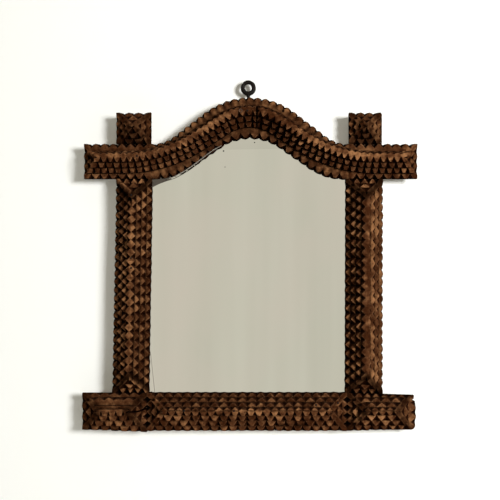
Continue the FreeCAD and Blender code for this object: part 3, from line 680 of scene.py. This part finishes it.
def make_finer(mesh, distance, reach, longest):
    """Splits the edges within reach of something, by a measure of distance, that are over the longest."""
    for step in range(FINER_STEPS):
        near = [e for e in mesh.edges if e.calc_length() > longest
                and distance((e.verts[0].co + e.verts[1].co) / 2) < reach + e.calc_length() / 2]
        if not near:
            return
        bmesh.ops.subdivide_edges(mesh, edges=near, cuts=1)
        bmesh.ops.triangulate(mesh, faces=mesh.faces)


# Carved strips: how light each one is and where shade is painted on it, looked up by parts of its name

TONE_SPREAD = 0.12
CROWN_SPREAD = 0.045
TOOTH_TIPS = 2
SEED_STEP = 1000
PIECE_TONE = {
    "_base": 0.08,
    "_second": 0.09,
    "_third": 0.10,
    "_ridge": 0.09,
    "bottom": -0.045,
    "bottom_left": 0.03,
    "bottom_middle_base": -0.02,
    "bottom_middle_ridge": 0.06,
    "bottom_right": 0.075,
    "left_stile": 0.035,
    "right_stile": 0.01,
    "right_stile_ridge": -0.12,
    "stub": -0.03,
    "stub_ridge": 0.08,
    "left_stub": 0.02,
    "arm": 0.02,
    "right_arm": -0.055,
    "arch_base": 0.045,
    "arch_second": -0.04,
    "arch_third": -0.05,
    "left_arch_ridge": 0.045,
    "right_arch_ridge": 0.04,
}
# Painted shade in a strip's corners, where its rows of teeth meet.
CORNER_SHADE = -0.16
CORNER_REACH = 5 * MM
END_TONE = 0.10
END_REACH = 10 * MM
CROWN_TONE = -0.22
CROWN_REACH = 48 * MM
# Painted shade on the lower row of teeth of the arch's base strip.
LOWER_ROW_SHADE = 0.5
LOWER_ROW_REACH = 9 * MM
ROW_SPACING = 15 * MM
# Reach of the painted shade at the end of the right half of the arch's stack.
SEAM_SHADE_REACH = 5 * MM
# Painted shade on the lower rows of the stubs, and how far up it reaches.
STUB_SHADE = 0.70
STUB_SHADE_REACH = 15 * MM
# Painted shade on the hips of the strips, by kind of strip.
HIP_SHADE = {"stub": 0.45, "stile": 0.80, "bottom": 0.60}
HIP_FULL_SHARE = 1.5
HIP_REACH = 4.4 * MM
HIP_LENGTH = 15 * MM
HIP_EDGE = 1.5 * MM
HIPLESS = ("arch", "bottom_middle")
# Painted shade at the roots of the notches, by kind of strip.
ROOT_SHADE = {
    "right_arch_second": 0.95,
    "right_arch_third": 0.95,
    "left_arch_second": 0.55,
    "left_arch_third": 0.55,
    "arch_base": 0.85,
}
ROOT_SHADE_REACH = 2.6 * MM


def is_lower(tip, tips):
    """Whether a tip of the arch hangs in its lower row, well below another."""
    return any(abs(other.x - tip.x) < ROW_SPACING / 2 and other.z > tip.z + ROW_SPACING for other in tips)


def shade_lower_row(mesh, tips):
    """Darkens the lower row of teeth of the arch's base strip, which hangs in its own shade."""
    tree = tree_of([tip for tip in tips if is_lower(tip, tips)])
    painted_shade = mesh.verts.layers.float["painted_shade"]
    for vertex in mesh.verts:
        vertex[painted_shade] = LOWER_ROW_SHADE * share_near(nearest(tree, vertex.co)[1], LOWER_ROW_REACH)


def shade_seam_end(mesh):
    """Blackens the end of the right half of the arch's stack with painted shade."""
    painted_shade = mesh.verts.layers.float["painted_shade"]
    for vertex in mesh.verts:
        vertex[painted_shade] = share_near(vertex.co.x - CROWN_SEAM, SEAM_SHADE_REACH)


def shade_stub_foot(mesh, node):
    """Blackens the lower rows of a stub, which hang in their own shade above the top rail."""
    painted_shade = mesh.verts.layers.float["painted_shade"]
    for vertex in mesh.verts:
        vertex[painted_shade] = STUB_SHADE * share_near(vertex.co.z - low(node).z, STUB_SHADE_REACH)


def shade_roots(mesh, roots, level):
    """Blackens the roots of the notches, and with them the inner part of each tooth, with painted shade."""
    tree = tree_of(roots)
    painted_shade = mesh.verts.layers.float["painted_shade"]
    for vertex in mesh.verts:
        share = level * share_near(nearest(tree, vertex.co)[1], ROOT_SHADE_REACH)
        vertex[painted_shade] = max(vertex[painted_shade], share)


def hip_distance(node, place):
    """How far a place is from a hip, the diagonal that runs in from a strip's nearest corner."""
    beside, beyond = inset(node, place)
    return HIP_LENGTH if max(beside, beyond) > HIP_LENGTH else abs(beside - beyond) / math.sqrt(2)


def shade_hips(mesh, node):
    """Darkens the hips of a strip, where two rows of teeth meet, with painted shade."""
    make_finer(mesh, lambda place: hip_distance(node, place), HIP_REACH, HIP_EDGE)
    painted_shade = mesh.verts.layers.float["painted_shade"]
    level = next((value for part, value in HIP_SHADE.items() if part in node), 0)
    for vertex in mesh.verts:
        share = min(1, HIP_FULL_SHARE * share_near(hip_distance(node, vertex.co), HIP_REACH))
        vertex[painted_shade] = max(vertex[painted_shade], level * math.sqrt(share))


def add_painted_shade(mesh, node, tips, roots):
    """Says for the finish where painted shade darkens a strip."""
    mesh.verts.layers.float.new("painted_shade")
    if node == "arch_base_strip":
        shade_lower_row(mesh, tips)
    elif node.startswith("right_arch"):
        shade_seam_end(mesh)
    elif "stub" in node:
        shade_stub_foot(mesh, node)
    if not any(part in node for part in HIPLESS):
        shade_hips(mesh, node)
    for part, level in ROOT_SHADE.items():
        if part in node:
            shade_roots(mesh, roots, level)


def tone_at(node, place):
    """How light a place of a strip is: darker with painted shade in its corners, darker at the crown,
    lighter at a stile's ends.
    """
    tone = sum(value for part, value in PIECE_TONE.items() if part in node)
    if node == "arch_base_strip":
        return tone
    if "arch" in node:
        return tone + CROWN_TONE * share_near(abs(place.x - CROWN_SEAM), CROWN_REACH)
    beside, beyond = inset(node, place)
    tone += CORNER_SHADE * math.sqrt(share_near(max(beside, beyond, 0), CORNER_REACH))
    if "stile" in node:
        tone += END_TONE * share_near(max(beyond, 0), END_REACH)
    return tone


def rub_down(mesh, node, tips, front, seed):
    """Lowers the tips of the teeth, each by its own amount, and gives each tooth a tone."""
    tree = tree_of(tips)
    spread = CROWN_SPREAD if node == "arch_base_strip" else TONE_SPREAD
    tone = mesh.verts.layers.float.new("tone")
    for vertex in mesh.verts:
        index, distance = nearest(tree, vertex.co)
        chance = random.Random(seed * SEED_STEP + index // TOOTH_TIPS)
        worn, broken = chance.random(), chance.random() < BROKEN_CHANCE
        drop, reach = (BROKEN_DROP, BROKEN_REACH) if broken else (TIP_DROP, TIP_REACH)
        vertex[tone] = tone_at(node, vertex.co) + spread * (2 * worn - 1)
        if vertex.co.y < front + WELD and distance < reach:
            drop_share = LEAST_DROP_SHARE + (1 - LEAST_DROP_SHARE) * worn
            vertex.co.y += drop * drop_share * (1 - distance / reach)


def mark_surface(mesh, edge_faces, front, back):
    """Says for the finish which faces are cuts or worn edges, and how deep each corner lies."""
    cut = mesh.loops.layers.float.new("cut")
    edge = mesh.loops.layers.float.new("edge")
    depth = mesh.verts.layers.float.new("depth")
    for vertex in mesh.verts:
        vertex[depth] = min(1, max(0, (vertex.co.y - front) / (back - front)))
    for face in mesh.faces:
        is_edge = face in edge_faces
        is_cut = not is_edge and face.normal.y > -0.9
        for loop in face.loops:
            loop[cut] = float(is_cut)
            loop[edge] = float(is_edge)


# Damage: a nicked and swollen end, a crack and a nail hole, placed by pixels of the photograph

# The end's shape is the pixel row of each bend and how far the wood stands out there, in millimetres.
END_SHAPE = [(394.5, 0.9), (398.2, 0.9), (399.8, -0.8), (401.2, 2.2), (403.5, 3.0), (421, 3.0),
             (426.5, 2.2), (429.5, 0.0)]
END_DEPTH = 7 * MM
CRACK = [(126.5, 412.3), (128.5, 412.0), (134, 412.2), (140, 411.0), (144, 409.2), (148, 407.6)]
CRACK_HALF_WIDTH = 0.85 * MM
CRACK_DEPTH = 2.6 * MM
NAIL_HOLE = [(283, 111)]
NAIL_HOLE_RADIUS = 1.4 * MM
NAIL_HOLE_DEPTH = 2.2 * MM
GROOVE_EDGE_SHARE = 0.6
# How quickly the painted shade in a crack or a hole reaches full black.
GROOVE_SHADE_SHARE = 2.2


def end_shift(height, bends):
    """How far the swollen end stands out at a height, from its bends, each a height and a shift."""
    shift = bends[0][1]
    for (upper, upper_shift), (lower, lower_shift) in zip(bends, bends[1:]):
        if height <= upper:
            along = min(1, (upper - height) / (upper - lower))
            shift = upper_shift * (1 - along) + lower_shift * along
    return shift * MM


def swollen_end(mesh, node):
    """Gives the right end of the bottom rail its nick and its bulge."""
    end = high(node).x
    bends = [(photo_place((PHOTO_PIXELS / 2, row), low(node).y).z, shift) for row, shift in END_SHAPE]
    for height, shift in bends:
        parts = list(mesh.verts) + list(mesh.edges) + list(mesh.faces)
        bmesh.ops.bisect_plane(mesh, geom=parts, dist=WELD, plane_co=(0, 0, height), plane_no=(0, 0, 1))
    for vertex in mesh.verts:
        share = share_near(max(0, end - vertex.co.x), END_DEPTH)
        vertex.co.x += end_shift(vertex.co.z, bends) * share


def distance_to(path, place):
    """How far a place is, seen from the front, from a line through the points of a path."""
    flat = Vector((place.x, 0, place.z))
    points = [Vector((p.x, 0, p.z)) for p in path]
    best = min((flat - p).length for p in points)
    for start, end in zip(points, points[1:]):
        along = end - start
        share = min(1, max(0, (flat - start).dot(along) / along.length_squared))
        best = min(best, (flat - start - along * share).length)
    return best


def groove(mesh, path, half_width, depth):
    """Opens a crack or a hole: makes the mesh finer beside the path, pushes its middle in and paints shade
    in it.
    """
    painted_shade = mesh.verts.layers.float["painted_shade"]
    make_finer(mesh, lambda place: distance_to(path, place), half_width, half_width * GROOVE_EDGE_SHARE)
    for vertex in mesh.verts:
        share = share_near(distance_to(path, vertex.co), half_width)
        vertex.co.y += depth * share
        vertex[painted_shade] = max(vertex[painted_shade], min(1, GROOVE_SHADE_SHARE * share))


def damage(mesh, node):
    """The crack across the left block's strips, and the nail hole at the crown."""
    front = low(node).y
    if node.startswith("bottom_left"):
        groove(mesh, [photo_place(pixel, front) for pixel in CRACK], CRACK_HALF_WIDTH, CRACK_DEPTH)
    if node == "arch_base_strip":
        groove(mesh, [photo_place(pixel, front) for pixel in NAIL_HOLE], NAIL_HOLE_RADIUS, NAIL_HOLE_DEPTH)


# Carved strips: put together

def carved_piece(node, material, seed):
    """A strip as it was carved and worn, in place of its solid."""
    mesh = clean_copy(node)
    front, back = low(node).y, high(node).y
    recut(mesh, node)
    notch_corners(mesh, node)
    open_seam(mesh, node)
    places, is_root = front_outline(mesh)[1:]
    tips = [place for place, root in zip(places, is_root) if not root]
    roots = [place for place, root in zip(places, is_root) if root]
    if node == "bottom_right_base_strip":
        swollen_end(mesh, node)
    uneven(mesh, seed)
    worn_faces = wear_edges(mesh, back)
    mark_surface(mesh, worn_faces, front, back)
    split_evenly(mesh)
    add_painted_shade(mesh, node, tips, roots)
    rub_down(mesh, node, tips, front, seed)
    damage(mesh, node)
    data = kept_mesh("carved_" + node, mesh)
    data.shade_flat()
    data.materials.append(material)
    made = placed("carved_" + node, data)
    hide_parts(node)
    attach(made, "root")
    return made


def strips():
    along_x = carved_wood("carved_wood_level", GRAIN_ALONG_X, 1)
    along_z = carved_wood("carved_wood_upright", GRAIN_ALONG_Z, 2)
    carved = [name for name in sorted(nodes) if name.endswith("_strip")]
    made = []
    for seed, node in enumerate(carved, start=1):
        upright = "stile" in node or "stub" in node
        made.append(carved_piece(node, along_z if upright else along_x, seed))
    return made


# Screw eye: its ring, and its neck and shank as heights and radii in millimetres

EYE_RADIUS = 5.65 * MM
EYE_WIRE = 2.10 * MM
EYE_STEPS = 48
EYE_VOXEL = 0.30 * MM
EYE_SMOOTHING = 4
EYE_WANDER = 0.22 * MM
EYE_WANDER_NOISE = 1.3
WIRE_WANDER_SHARE = 0.10
WIRE_WANDER_NOISE = 1.7
WIRE_WANDER_APART = Vector((4, 0, 0))
WIRE_FLARE_SHARE = 0.12
NECK = [(-6.4, 2.0), (-8.4, 1.9), (-9.6, 1.5), (-10.6, 1.45)]
SHANK_RADIUS = 1.45 * MM
POINT_LENGTH = 4 * MM
POINT_RADIUS = 0.25 * MM


def eye_ring():
    """The rings of points along the screw eye's closed and a little uneven loop of wire."""
    rings = []
    for step in range(EYE_STEPS):
        turn = 2 * math.pi * step / EYE_STEPS
        out = Vector((math.cos(turn), 0, math.sin(turn)))
        centre = out * (EYE_RADIUS + EYE_WANDER * noise.noise(out * EYE_WANDER_NOISE))
        wander = WIRE_WANDER_SHARE * noise.noise(out * WIRE_WANDER_NOISE + WIRE_WANDER_APART)
        thick = EYE_WIRE * (1 + wander + WIRE_FLARE_SHARE * max(0, -out.z) ** 3)
        rings.append([centre + out * thick * math.cos(a) + Vector((0, thick * math.sin(a), 0))
                      for a in TURNS])
    return rings + rings[:1]


def eye_shank():
    """The rings of points down the screw eye's neck and shank, to its point."""
    tip = low("screw_eye").z
    sections = [(z * MM, r * MM) for z, r in NECK]
    sections += [(tip + POINT_LENGTH, SHANK_RADIUS), (tip, POINT_RADIUS)]
    return [[Vector((r * math.cos(a), r * math.sin(a), z)) for a in TURNS] for z, r in sections]


def screw_eye(material):
    """A ring of thick wire on a neck that flares into it, melted into one piece."""
    points, faces = swept(eye_ring())
    first = len(points)
    more, sides = swept(eye_shank())
    points += more
    faces += [tuple(first + corner for corner in face) for face in sides]
    faces.append(tuple(range(first, first + ROUND_SIDES)))
    faces.append(tuple(range(len(points) - ROUND_SIDES, len(points))))
    made = placed("forged_screw_eye", kept_mesh("rough_eye", joined(points, faces)))
    melt = made.modifiers.new("melt", "REMESH")
    melt.mode = "VOXEL"
    melt.voxel_size = EYE_VOXEL
    soften = made.modifiers.new("soften", "SMOOTH")
    soften.iterations = EYE_SMOOTHING
    bpy.context.view_layer.update()
    data = bpy.data.meshes.new_from_object(made.evaluated_get(bpy.context.evaluated_depsgraph_get()))
    made.modifiers.clear()
    made.data = data
    data.materials.clear()
    data.materials.append(material)
    data.shade_smooth()
    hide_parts("screw_eye")
    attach(made, "root")


# Nails: profiles are radius and height as shares of a nail's radius, places in front are pixels

BRAD_PROFILE_SHARES = [(0.5, -2.6), (0.5, -0.6), (1.0, -0.3), (1.0, 0.25), (0.75, 0.42), (0.3, 0.50)]
DISHED_PROFILE_SHARES = [(0.5, -1.6), (0.5, -0.5), (1.0, -0.3), (1.0, 0.30), (0.84, 0.38), (0.60, -0.2),
                         (0.25, -0.3)]
NAIL_ROUGHNESS = 0.12
NAIL_APART = 5.1
NAIL_STEP_APART = 0.7
BRADS = [(247.4, 110.6), (184, 411), (234, 411), (316, 405), (338, 403), (131, 195), (131, 258),
         (131, 268), (137, 156)]
BRAD_RADIUS = 0.95 * MM
DISHED_NAILS = [(240.6, 110.6)]
DISHED_RADIUS = 1.8 * MM
DISHED_PALER = 14
LAP_NAIL_RADIUS = 1.7 * MM
LAP_NAIL_HEIGHT = 7 * MM
LAP_NAIL_SIDE = 4.2 * MM
BACK_BRAD_INSET = 3.5 * MM
BACK_BRAD_SHARES = (0.12, 0.5, 0.88)
BACK_BRAD_SPAN_SHARE = 0.80
BACK_NAIL_SEED = 30


def nail(name, profile, centre, radius, out, seed, material):
    """A nail's head and a stretch of its shank, turned about an axis and a little out of round."""
    mesh = bmesh.new()
    rings = []
    for step, (share, rise) in enumerate(profile):
        ring = []
        for angle in TURNS:
            place = Vector((seed * NAIL_APART + math.cos(angle), math.sin(angle), step * NAIL_STEP_APART))
            wobble = 1 + NAIL_ROUGHNESS * noise.noise(place)
            flat = Vector((math.cos(angle), 0, math.sin(angle))) * share * radius * wobble
            ring.append(mesh.verts.new(Vector(centre) + flat + out * rise * radius))
        rings.append(ring)
    for inner, outer in zip(rings, rings[1:]):
        for side in range(ROUND_SIDES):
            after = (side + 1) % ROUND_SIDES
            mesh.faces.new((inner[side], inner[after], outer[after], outer[side]))
    mesh.faces.new(rings[0])
    mesh.faces.new(rings[-1])
    bmesh.ops.recalc_face_normals(mesh, faces=mesh.faces)
    data = kept_mesh(name, mesh)
    data.shade_smooth()
    data.materials.append(material)
    made = placed(name, data)
    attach(made, "root")


def front_nails(carved, material):
    """Brads and a dished nail as the photograph shows them, each on the wood that the camera sees there."""
    points, faces = [], []
    for piece in carved:
        first = len(points)
        points += [vertex.co.copy() for vertex in piece.data.vertices]
        faces += [tuple(first + corner for corner in face.vertices) for face in piece.data.polygons]
    wood = BVHTree.FromPolygons(points, faces)
    worn = dark_iron("worn_iron", DISHED_PALER)
    for kind, pixels, profile, radius, finish in (
            ("brad", BRADS, BRAD_PROFILE_SHARES, BRAD_RADIUS, material),
            ("dished_nail", DISHED_NAILS, DISHED_PROFILE_SHARES, DISHED_RADIUS, worn)):
        for number, pixel in enumerate(pixels, start=1):
            place = wood.ray_cast(CAMERA, (photo_place(pixel) - CAMERA).normalized())[0]
            nail(f"{kind}_{number}", profile, place, radius, FORWARD, number, finish)


def back_nails(material):
    """Nails through the four half-laps and brads at the edge of the backing board."""
    places = []
    for stile in ("left_stile_board", "right_stile_board"):
        across = (low(stile).x + high(stile).x) / 2
        for lap in (BOTTOM_LAP, TOP_LAP):
            for side in (-1, 1):
                place = Vector((across - side * LAP_NAIL_SIDE, BACK, lap + side * LAP_NAIL_HEIGHT))
                places.append((place, LAP_NAIL_RADIUS))
    board_low, board_high = low("backing_board"), high("backing_board")
    for share in BACK_BRAD_SHARES:
        height = board_low.z + (board_high.z - board_low.z) * share * BACK_BRAD_SPAN_SHARE
        for across in (board_low.x + BACK_BRAD_INSET, board_high.x - BACK_BRAD_INSET):
            places.append((Vector((across, board_high.y, height)), BRAD_RADIUS))
    for number, (place, radius) in enumerate(places, start=1):
        seed = number + BACK_NAIL_SEED
        nail(f"back_nail_{number}", BRAD_PROFILE_SHARES, place, radius, BACKWARD, seed, material)


# Slips of wood at the head of the glass, by pixels: a pale line under the arch as a painted glint of the
# glass's edge, and a dark wedge in the corner

# Painted glint of the glass's edge under the arch: the pixels of its line, its size and its stand in front
# of the base face.
GLINT_LINE = [(167.5, 179.2), (174, 176.8), (182, 172.6), (190, 167.6), (198, 161.6), (206, 155.2),
          (214, 149.6), (221.5, 145.6)]
GLINT_LINE_SIZE = 0.36 * MM
GLINT_LINE_END_SHARE = 0.4
GLINT_LINE_STAND = 0.35 * MM
GLINT_LINE_SECTION_SHARES = [(-0.4, -1, 0.9), (0.4, -1, 0.9), (0.8, 1.6, -0.9), (-0.8, 1.6, -0.9)]
# A dark wedge of wood laid on the glass in its upper left corner: its outline in pixels and its thickness.
CORNER_WEDGE = [(148, 177), (172, 177.5), (170.5, 179.6), (160, 183.4), (152.5, 187), (148, 187)]
CORNER_WEDGE_THICKNESS = 1.2 * MM


def slip(name, points, faces, material):
    """A small piece of wood from its points and faces."""
    data = kept_mesh(name, joined(points, faces))
    data.materials.append(material)
    made = placed(name, data)
    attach(made, "root")


def slips():
    glint_wood = plain_wood("glint_line_wood", (90, 700, 90), (0.30, 0.27, 0.23), (0.10, 0.085, 0.070), 11)
    dark = plain_wood("dark_wedge_wood", (60, 700, 260), (0.095, 0.078, 0.060), (0.045, 0.036, 0.028), 13)
    rings = []
    for number, pixel in enumerate(GLINT_LINE):
        centre = photo_place(pixel, BASE_FACE - GLINT_LINE_STAND)
        size = GLINT_LINE_SIZE * (GLINT_LINE_END_SHARE if number in (0, len(GLINT_LINE) - 1) else 1)
        rings.append([centre + Vector(corner) * size for corner in GLINT_LINE_SECTION_SHARES])
    points, faces = swept(rings)
    corners = len(GLINT_LINE_SECTION_SHARES)
    faces += [tuple(range(corners)), tuple(range(len(points) - corners, len(points)))]
    # A painted glint: a pale line of wood along the glass's edge under the arch.
    slip("arch_glint_line", points, faces, glint_wood)
    outline = [photo_place(pixel, low("mirror_glass").y) for pixel in CORNER_WEDGE]
    points, faces = swept([outline, [point + FORWARD * CORNER_WEDGE_THICKNESS for point in outline]])
    faces += [tuple(range(len(outline))), tuple(range(len(outline), len(points)))]
    slip("dark_corner_wedge", points, faces, dark)


# Carcass and glass

FOOT_INSET = 0.4 * MM
CARCASS_LIGHT, CARCASS_DARK = (0.105, 0.055, 0.027), (0.045, 0.020, 0.010)
BACKING_LIGHT, BACKING_DARK = (0.330, 0.215, 0.120), (0.190, 0.112, 0.058)


def dress(node, material):
    """A CAD node that stays, with its finish."""
    data = nodes[node].data
    data.materials.clear()
    data.materials.append(material)


def foot_board(material):
    """The bottom board, with its lower edge let down behind the teeth to a straight foot."""
    made = placed("planed_bottom_rail_board", nodes["bottom_rail_board"].data.copy())
    lower = low("bottom_rail_board").z
    for vertex in made.data.vertices:
        if vertex.co.z < lower + WELD:
            vertex.co.z = FOOT + FOOT_INSET
    made.data.materials.clear()
    made.data.materials.append(material)
    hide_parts("bottom_rail_board")
    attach(made, "root")


def carcass():
    level = plain_wood("carcass_wood_level", (45, 700, 700), CARCASS_LIGHT, CARCASS_DARK, 3)
    upright = plain_wood("carcass_wood_upright", (700, 700, 45), CARCASS_LIGHT, CARCASS_DARK, 5)
    thin = plain_wood("backing_wood", (420, 420, 28), BACKING_LIGHT, BACKING_DARK, 8)
    dress("top_rail_board", level)
    foot_board(level)
    for node in ("left_stile_board", "right_stile_board"):
        dress(node, upright)
    dress("backing_board", thin)
    dress("mirror_glass", old_mirror())


camera()
stage()
lights()
surroundings()
carved = strips()
carcass()
slips()
iron = dark_iron()
screw_eye(iron)
front_nails(carved, iron)
back_nails(iron)

bpy.context.scene.view_settings.view_transform = "Standard"
